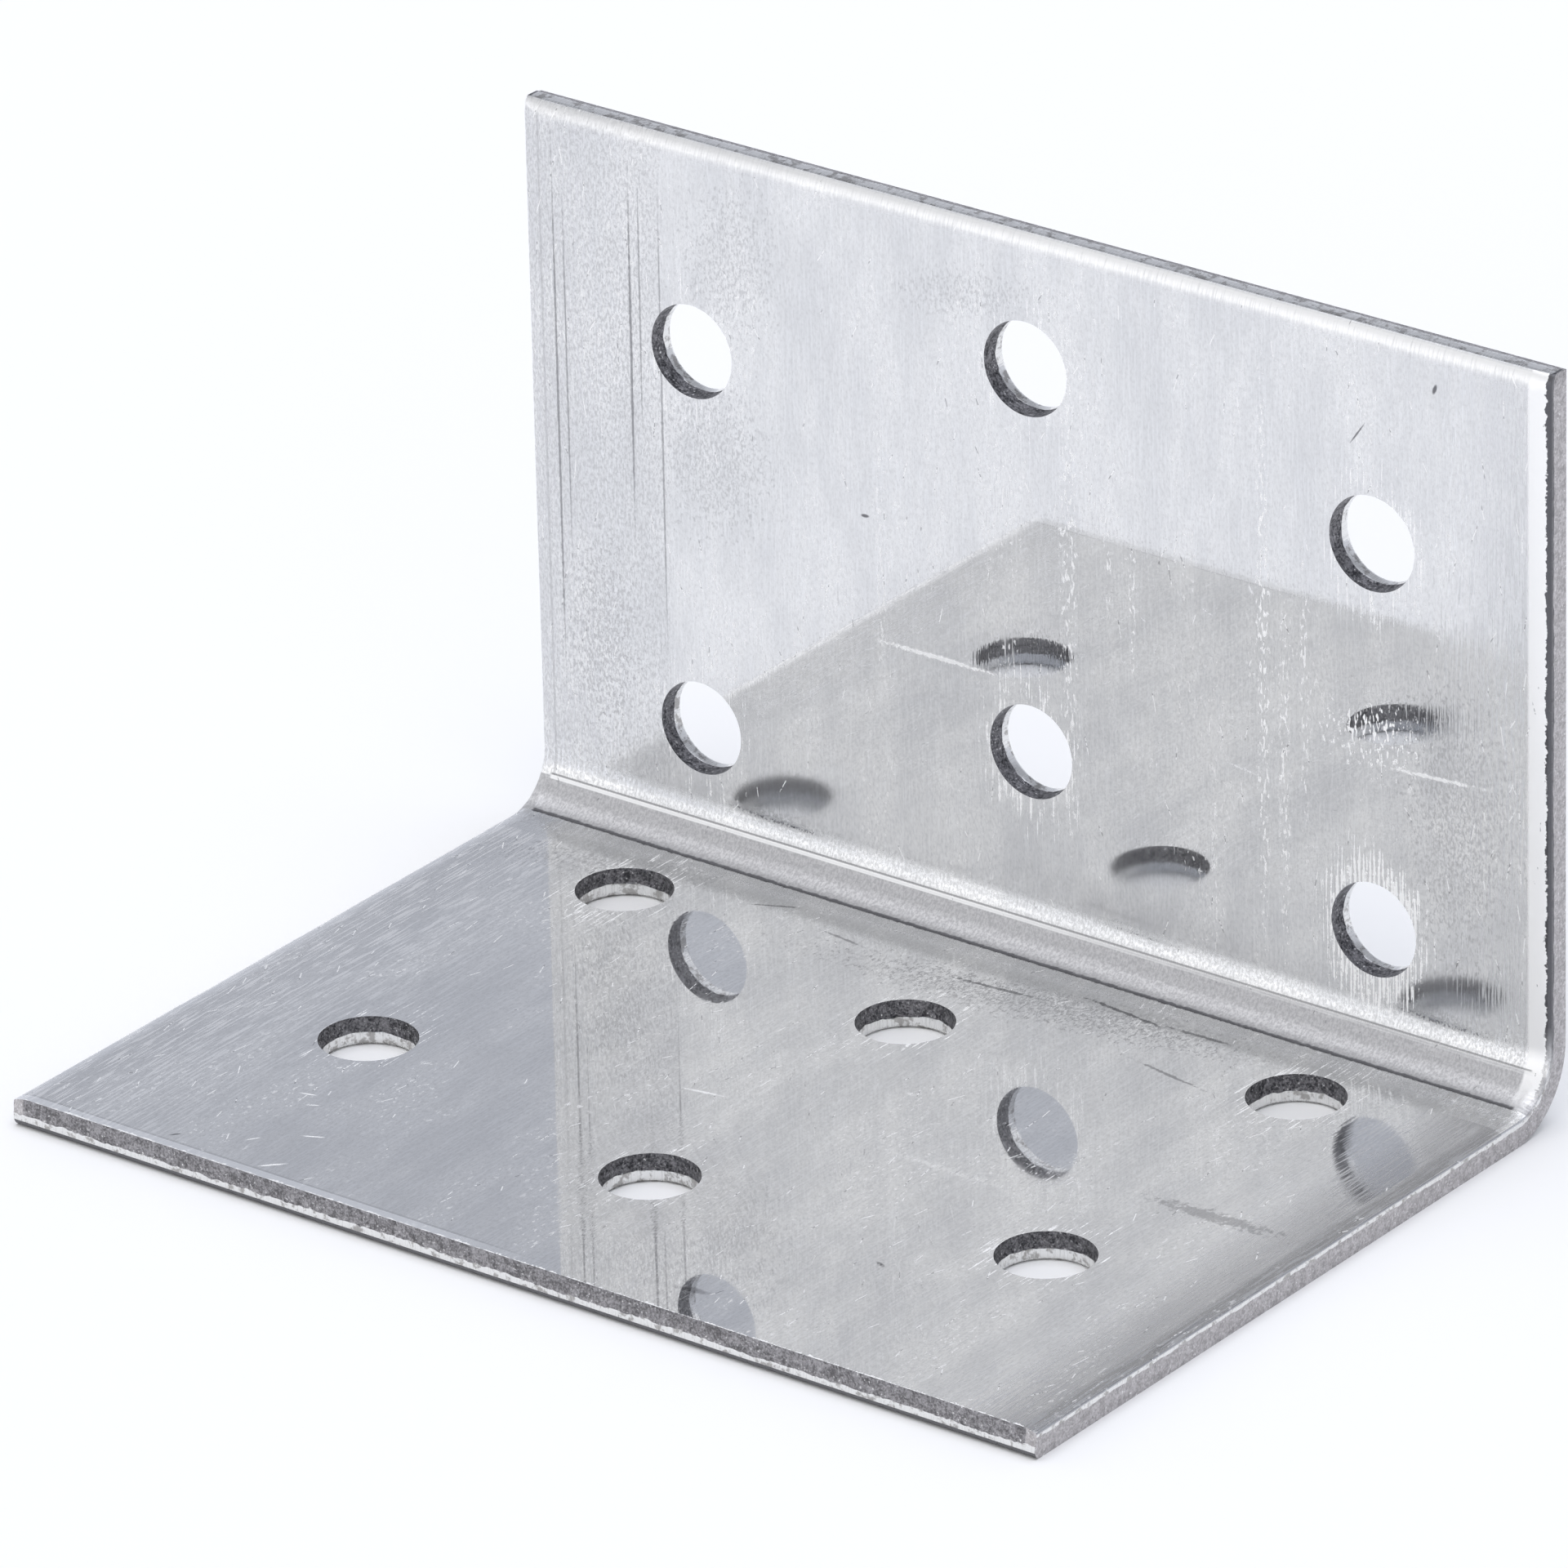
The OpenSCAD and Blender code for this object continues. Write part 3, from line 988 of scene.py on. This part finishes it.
def sheet_roughness(t, m):
    """Mirror-like where the sheet is clear, rougher where it is brushed, bent, dulled, scratched or under a
    painted highlight.
    """
    hazy = t.most(m.brushed, m.in_fold)
    roughness = t.mix(m.grain, t.mix(hazy, 0.012, 0.12), t.mix(hazy, 0.15, 0.36))
    roughness = t.most(roughness, t.times(m.foot, t.math("MULTIPLY_ADD", m.grain, 0.1, 0.13)))
    roughness = t.mix(m.in_flute, roughness, t.mix(m.grain, 0.42, 0.6))
    top = t.ease(m.s, STRIP_L - 1.4, STRIP_L - 0.7)
    return t.most(roughness, t.times(m.dull, 0.42), t.times(m.white, 0.4), t.times(m.front, 0.3),
                  t.times(top, 0.3))


def zinc_sheet(groups, stretch):
    """The faces of one stretch: bright zinc with rolling lines, scuffs, smudges, single marks, painted shade
    and painted highlights.
    """
    made, t, shader = new_material("zinc sheet " + stretch)
    m = sheet_masks(t, stretch)
    add_brushing(t, m, groups)
    add_scratches(t, m, groups)
    add_dull_places(t, m, groups)
    add_fold_marks(t, m)
    add_edge_marks(t, m)
    add_streaks(t, m)
    matte = t.most(t.times(m.white, t.mix(m.rubbed, 0.7, 0.15)), t.times(m.in_flute, 0.45))
    metallic = t.math("SUBTRACT", 0.93, matte)
    # Only the hazy places have lines deep enough to bend the reflections
    drawn_out = t.times(m.lines["Height"], t.most(m.sides, t.times(m.near_hole, 0.5)))
    normal = t.bump(t.mix(m.in_fold, drawn_out, t.times(m.mottle, 0.8)), 0.005, 0.8)
    set_shader(t, shader, sheet_colour(t, m), sheet_roughness(t, m), normal, metallic)
    return made


def burnished_land(groups):
    """What the blade or punch rubbed bright, with fine lines through the sheet's thickness."""
    made, t, shader = new_material("burnished land")
    place = strip_place(t)
    u, s = t.split(place)[:2]
    lines = t.group(groups["grain"], Place=place, Across=12.0, Along=12.0, Cover=0.4)
    broad = t.noise(object_place(t), 3.0, 0.7, 1.6, "3D")
    colour = t.blend(t.times(lines["Lines"], 0.25), LAND_LIGHT, LAND_LINES)
    colour = t.blend(t.ease(broad, 0.5, 0.62), colour, LAND_WORN)
    # Painted shade: the sides of the base leg's holes that face the fold are made darker
    facing = t.split(t.node("ShaderNodeNewGeometry").outputs["Normal"])["Y"]
    dull = t.times(t.ease(facing, 0.1, 0.7), t.less(t.ease(s, BASE_FLAT, UPRIGHT_S)))
    colour = t.blend(t.times(dull, 0.8), colour, LAND_FACING_SHADE)
    # Painted shade: the land along the upright leg's slit edges is made dark
    slit = t.ease(t.math("ABSOLUTE", u), HALF - 0.2, HALF - 0.1)
    dark = t.times(slit, t.ease(s, BASE_FLAT + 2.0, UPRIGHT_S + 1.0))
    colour = t.blend(t.times(dark, 0.9), colour, LAND_SLIT_SHADE)
    roughness = t.mix(lines["Lines"], 0.14, 0.32)
    set_shader(t, shader, colour, roughness, t.bump(lines["Height"], 0.006, 0.6))
    return made


def torn_break():
    """The dull crystalline surface where the sheet tore off."""
    made, t, shader = new_material("torn break")
    place = object_place(t)
    pale = t.attribute("pale_break")
    coarse = t.noise(place, 2.0, 0.7, 2.4, "3D")
    fine = t.noise(place, 2.0, 0.75, 8.0, "3D")
    grit = t.ease(t.math("MULTIPLY_ADD", fine, 0.6, t.times(coarse, 0.4)), 0.36, 0.64)
    colour = t.blend(grit, t.blend(pale, HOLLOW, PALE_HOLLOW), t.blend(pale, GRIT, PALE_GRIT))
    colour = t.blend(t.ease(fine, 0.66, 0.72), colour, GLINT)
    height = t.math("MULTIPLY_ADD", fine, 0.5, coarse)
    set_shader(t, shader, colour, t.mix(fine, 0.3, 0.6), t.bump(height, 0.1, 0.9))
    return made


FOLD_INPUTS = {
    "Float": ("Sheet thickness", "Fold radius", "Base flat", "Fold length", "Front y",
              "Fold from", "Fold to"),
    "Int": ("Seed",),
    "Object": ("Hole cells", "Hole centres"),
    "Material": ("Base sheet", "Fold sheet", "Upright sheet", "Land", "Break"),
}

# Distance within which points of the cells and the strip are one
MERGE = 0.002
LAST_MERGE = 0.001
SHARP_ANGLE = math.radians(38)

# How brightly the sheet is rubbed round each hole, in the order of hole_centres
RUBBED_RIMS = (0.45, 0.35, 0.3, 0.3, 0.4, 0.55, 0.3, 0.3, 0.5, 0.9, 0.4, 0.42)

# Nearness to a hole falls by 1 in each reach from its peak at the centre, and is cut at 1.
# The rubbing round it falls from the rim to nothing in its own reach. Both fall slower along the strip.
NEAR_PEAK = 1.35
NEAR_REACH = 4.6
NEAR_ALONG = 0.75
RIM_REACH = 1.6
RIM_ALONG = 0.7

# How pale the break is along each border, and how far in from it. In the holes it is dark.
BORDER_REACH = 0.6
SLIT_PALENESS = 1.0
FRONT_PALENESS = 0.25
TOP_PALENESS = 0.7


def fold_tree():
    """Punches the hole cells into the strip and folds it: one tree, sizes as named inputs."""
    tree = bpy.data.node_groups.new("punch and fold", "GeometryNodeTree")
    face = tree.interface
    face.new_socket("Strip", in_out="INPUT", socket_type="NodeSocketGeometry")
    for kind, names in FOLD_INPUTS.items():
        for name in names:
            face.new_socket(name, in_out="INPUT", socket_type="NodeSocket" + kind)
    face.new_socket("Bracket", in_out="OUTPUT", socket_type="NodeSocketGeometry")
    t = Tree(tree)
    start = t.node("NodeGroupInput").outputs
    end = t.node("NodeGroupOutput")

    def compare(a, b, operation, kind="FLOAT"):
        first = 2 if kind == "INT" else 0
        inputs = {first: a, first + 1: b}
        return t.node("FunctionNodeCompare", inputs, data_type=kind, operation=operation).outputs[0]

    # The cells, each turned by 0 to 3 quarters of a turn, so that their torn edges differ
    cells = t.node("GeometryNodeObjectInfo", {"Object": start["Hole cells"]}).outputs["Geometry"]
    centres = t.node("GeometryNodeObjectInfo", {"Object": start["Hole centres"]}).outputs["Geometry"]
    quarters = t.node("FunctionNodeRandomValue", {4: 0, 5: 3, "Seed": start["Seed"]}, data_type="INT")
    turn = t.joined(Z=t.math("MULTIPLY", quarters.outputs[2], math.pi / 2))
    placed = t.node("GeometryNodeInstanceOnPoints", {"Points": centres, "Instance": cells, "Rotation": turn})
    real = t.node("GeometryNodeRealizeInstances", {"Geometry": placed.outputs[0]}).outputs[0]
    joined = t.node("GeometryNodeJoinGeometry")
    t.link(real, joined.inputs[0])
    t.link(start["Strip"], joined.inputs[0])
    merging = {"Geometry": joined.outputs[0], "Distance": MERGE * MM}
    merged = t.node("GeometryNodeMergeByDistance", merging).outputs[0]

    # Each point keeps its strip coordinates and is bent round the fold's centre
    position = t.node("GeometryNodeInputPosition").outputs[0]
    keeping = {"Geometry": merged, "Name": "strip", "Value": position}
    kept = t.node("GeometryNodeStoreNamedAttribute", keeping, data_type="FLOAT_VECTOR").outputs[0]
    u, s, depth = t.split(position)
    past = t.math("SUBTRACT", s, start["Base flat"])
    share = t.math("DIVIDE", past, start["Fold length"], clamp=True)
    lean = t.math("MULTIPLY", share, math.pi / 2)
    rise = t.math("MAXIMUM", t.math("SUBTRACT", past, start["Fold length"]), 0.0)
    run = t.math("MINIMUM", s, start["Base flat"])
    reach = t.math("ADD", depth, start["Fold radius"])
    centre_z = t.math("ADD", start["Sheet thickness"], start["Fold radius"])
    out = t.math("MULTIPLY", reach, t.math("SINE", lean))
    down = t.math("MULTIPLY", reach, t.math("COSINE", lean))
    y = t.math("ADD", t.math("ADD", run, start["Front y"]), out)
    z = t.math("ADD", t.math("SUBTRACT", centre_z, down), rise)
    bending = {"Geometry": kept, "Position": t.joined(X=u, Y=y, Z=z)}
    folded = t.node("GeometryNodeSetPosition", bending).outputs[0]

    zone = t.node("GeometryNodeInputNamedAttribute", {"Name": "zone"}, data_type="INT").outputs[0]
    strip = t.node("GeometryNodeInputNamedAttribute", {"Name": "strip"}, data_type="FLOAT_VECTOR").outputs[0]
    along = t.split(strip)["Y"]
    finishes = {
        "Base sheet": compare(zone, ZONE_SHEET, "EQUAL", "INT"),
        "Fold sheet": compare(along, start["Fold from"], "GREATER_THAN"),
        "Upright sheet": compare(along, start["Fold to"], "GREATER_THAN"),
        "Land": compare(zone, ZONE_LAND, "EQUAL", "INT"),
        "Break": compare(zone, ZONE_BREAK, "EQUAL", "INT"),
    }
    result = t.node("GeometryNodeRealizeInstances", {"Geometry": folded}).outputs[0]
    for name, chosen in finishes.items():
        inputs = {"Geometry": result, "Selection": chosen, "Material": start[name]}
        result = t.node("GeometryNodeSetMaterial", inputs).outputs[0]
    t.link(result, end.inputs[0])
    return tree


def set_inputs(modifier, values):
    for item in modifier.node_group.interface.items_tree:
        if item.item_type == "SOCKET" and item.in_out == "INPUT" and item.name in values:
            modifier[item.identifier] = values[item.name]


def build_bracket(materials):
    """Returns the finished bracket as one plain mesh."""
    strip = strip_mesh().object("strip")
    cell = cell_mesh(HOLE_SEED).object("hole cell")
    centres = new_object("hole centres", [(u, s, 0) for u, s in hole_centres()], [])
    modifier = strip.modifiers.new("punch and fold", "NODES")
    modifier.node_group = fold_tree()
    set_inputs(modifier, {
        "Sheet thickness": SHEET_T * MM,
        "Fold radius": FOLD_R * MM,
        "Base flat": BASE_FLAT * MM,
        "Fold length": FOLD_S * MM,
        "Front y": FRONT_Y * MM,
        "Fold from": FOLD_FROM * MM,
        "Fold to": FOLD_TO * MM,
        "Seed": TURN_SEED,
        "Hole cells": cell,
        "Hole centres": centres,
        **materials,
    })
    depsgraph = bpy.context.evaluated_depsgraph_get()
    data = bpy.data.meshes.new_from_object(strip.evaluated_get(depsgraph), depsgraph=depsgraph)
    bracket = bpy.data.objects.new("bracket", data)
    bpy.context.scene.collection.objects.link(bracket)
    for used in (strip, cell, centres):
        bpy.data.objects.remove(used)
    close_mesh(data)
    data.polygons.foreach_set("use_smooth", [True] * len(data.polygons))
    data.set_sharp_from_angle(angle=SHARP_ANGLE)
    keep_strip_places(data)
    return bracket


def close_mesh(data):
    """Makes one closed skin of the strip's faces and walls."""
    work = bmesh.new()
    work.from_mesh(data)
    bmesh.ops.remove_doubles(work, verts=work.verts, dist=LAST_MERGE * MM)
    # The walls leave a slit between them at each of the four corners
    bmesh.ops.holes_fill(work, edges=[e for e in work.edges if e.is_boundary], sides=0)
    bmesh.ops.recalc_face_normals(work, faces=work.faces)
    work.to_mesh(data)
    work.free()


def keep_strip_places(data):
    """Turns the stored strip coordinates into the UV map and the masks that the materials read."""
    flat = np.zeros(len(data.vertices) * 3, np.float32)
    data.attributes["strip"].data.foreach_get("vector", flat)
    flat = flat.reshape(-1, 3)
    add_strip_uv(data, flat)
    u, s, depth = (flat / MM).T
    near, rim = hole_masks(u, s)
    pale = np.where(s < BORDER_REACH, FRONT_PALENESS, 0.0)
    pale = np.where(np.abs(u) > HALF - BORDER_REACH, SLIT_PALENESS, pale)
    pale = np.where(s > STRIP_L - BORDER_REACH, TOP_PALENESS, pale)
    for name, values in {"near_hole": near, "rubbed_rim": rim, "pale_break": pale, "depth_mm": depth}.items():
        layer = data.attributes.new(name, "FLOAT", "POINT")
        layer.data.foreach_set("value", np.ascontiguousarray(values, np.float32))
    for name in ("strip", "zone"):
        data.attributes.remove(data.attributes[name])


def add_strip_uv(data, flat):
    """The UV map of the strip, with u = 0 in the middle of the unit square."""
    corner = np.zeros(len(data.loops), np.int32)
    data.loops.foreach_get("vertex_index", corner)
    places = flat[corner, :2] / (UV_SPAN * MM) + (0.5, 0)
    layer = data.uv_layers.new(name="strip_uv")
    layer.data.foreach_set("uv", places.astype(np.float32).ravel())


def hole_masks(u, s):
    """How near every point is to a hole, and how brightly it is rubbed there."""
    near = np.zeros(len(u))
    rim = np.zeros(len(u))
    for (cu, cs), strength in zip(hole_centres(), RUBBED_RIMS):
        nearness = np.clip(NEAR_PEAK - np.hypot(u - cu, (s - cs) * NEAR_ALONG) / NEAR_REACH, 0, 1)
        near = np.maximum(near, nearness * (0.5 + strength / 2))
        rubbing = np.clip(1 - (np.hypot(u - cu, (s - cs) * RIM_ALONG) - HOLE_R) / RIM_REACH, 0, 1)
        rim = np.maximum(rim, rubbing * strength)
    return near, rim


# The studio's light: height and brightness, and tint, in front of the bracket and behind it
WORLD_STRENGTH = 3.0
FRONT_STOPS = [(0.0, 1.4), (0.15, 1.4), (0.32, 1.0), (0.45, 0.95), (0.6, 0.6), (0.84, 0.6), (0.93, 2.6)]
FRONT_TINT = (0.997, 1.0, 1.015)
BACK_STOPS = [(0.0, 0.75), (0.3, 0.62), (0.42, 0.58), (0.52, 0.42), (0.72, 0.42), (0.84, 0.6), (0.93, 2.6)]
BACK_TINT = (0.955, 0.99, 1.09)
# How the front half passes into the back one: the way that it faces, and how quickly
FRONT_WAY_X = -0.25
FRONT_WAY_Y = -0.85
FRONT_QUICKNESS = 1.6

FLOOR_SIZE = 6
PAPER_WHITE = 0.95

CAMERA_LENS = 342.25
CAMERA_PLACE = (0.38588, -0.50004, 0.31341)
CAMERA_DEGREES = (64.8996, 1.2179, 37.0723)
CAMERA_FAR = 10


def build_world():
    """A plain soft studio: light overhead, a pale wall in front and a grey one behind."""
    world = bpy.data.worlds.new("studio")
    bpy.context.scene.world = world
    world.use_nodes = True
    world.node_tree.nodes.clear()
    t = ShaderTree(world.node_tree)
    way = t.split(t.node("ShaderNodeTexCoord").outputs["Generated"])

    def ramp(stops, tint):
        made = t.node("ShaderNodeValToRGB", {"Fac": way["Z"]})
        cells = made.color_ramp.elements
        while len(cells) < len(stops):
            cells.new(0.5)
        for cell, (place, value) in zip(cells, stops):
            cell.position = place
            cell.color = [value / WORLD_STRENGTH * share for share in tint] + [1]
        return made.outputs["Color"]

    facing = t.math("ADD", t.times(way["Y"], FRONT_WAY_Y), t.times(way["X"], FRONT_WAY_X))
    share = t.math("MULTIPLY_ADD", facing, FRONT_QUICKNESS, 0.5, clamp=True)
    mixed = t.blend(share, ramp(BACK_STOPS, BACK_TINT), ramp(FRONT_STOPS, FRONT_TINT))
    sky = t.node("ShaderNodeBackground", {"Color": mixed, "Strength": WORLD_STRENGTH})
    t.link(sky.outputs[0], t.node("ShaderNodeOutputWorld").inputs[0])


def build_floor():
    bpy.ops.mesh.primitive_plane_add(size=FLOOR_SIZE, location=(0, 0, 0))
    floor = bpy.context.object
    floor.name = "floor"
    paper = bpy.data.materials.new("paper")
    paper.use_nodes = True
    shader = paper.node_tree.nodes["Principled BSDF"]
    shader.inputs["Base Color"].default_value = (PAPER_WHITE, PAPER_WHITE, PAPER_WHITE, 1)
    shader.inputs["Roughness"].default_value = 1
    shader.inputs["Specular IOR Level"].default_value = 0
    floor.data.materials.append(paper)


def build_camera():
    data = bpy.data.cameras.new("camera")
    data.sensor_width = 36
    data.lens = CAMERA_LENS
    data.clip_end = CAMERA_FAR
    camera = bpy.data.objects.new("camera", data)
    camera.location = CAMERA_PLACE
    camera.rotation_euler = [math.radians(a) for a in CAMERA_DEGREES]
    bpy.context.scene.collection.objects.link(camera)
    bpy.context.scene.camera = camera


groups = {"grain": grain_group(), "scratch": scratch_group(), "mark": mark_group()}
materials = {
    "Base sheet": zinc_sheet(groups, "base"),
    "Fold sheet": zinc_sheet(groups, "fold"),
    "Upright sheet": zinc_sheet(groups, "upright"),
    "Land": burnished_land(groups),
    "Break": torn_break(),
}
bracket = build_bracket(materials)
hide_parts("angle_bracket")
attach(bracket, "root")

build_world()
build_floor()
build_camera()
bpy.context.scene.view_settings.view_transform = "Standard"
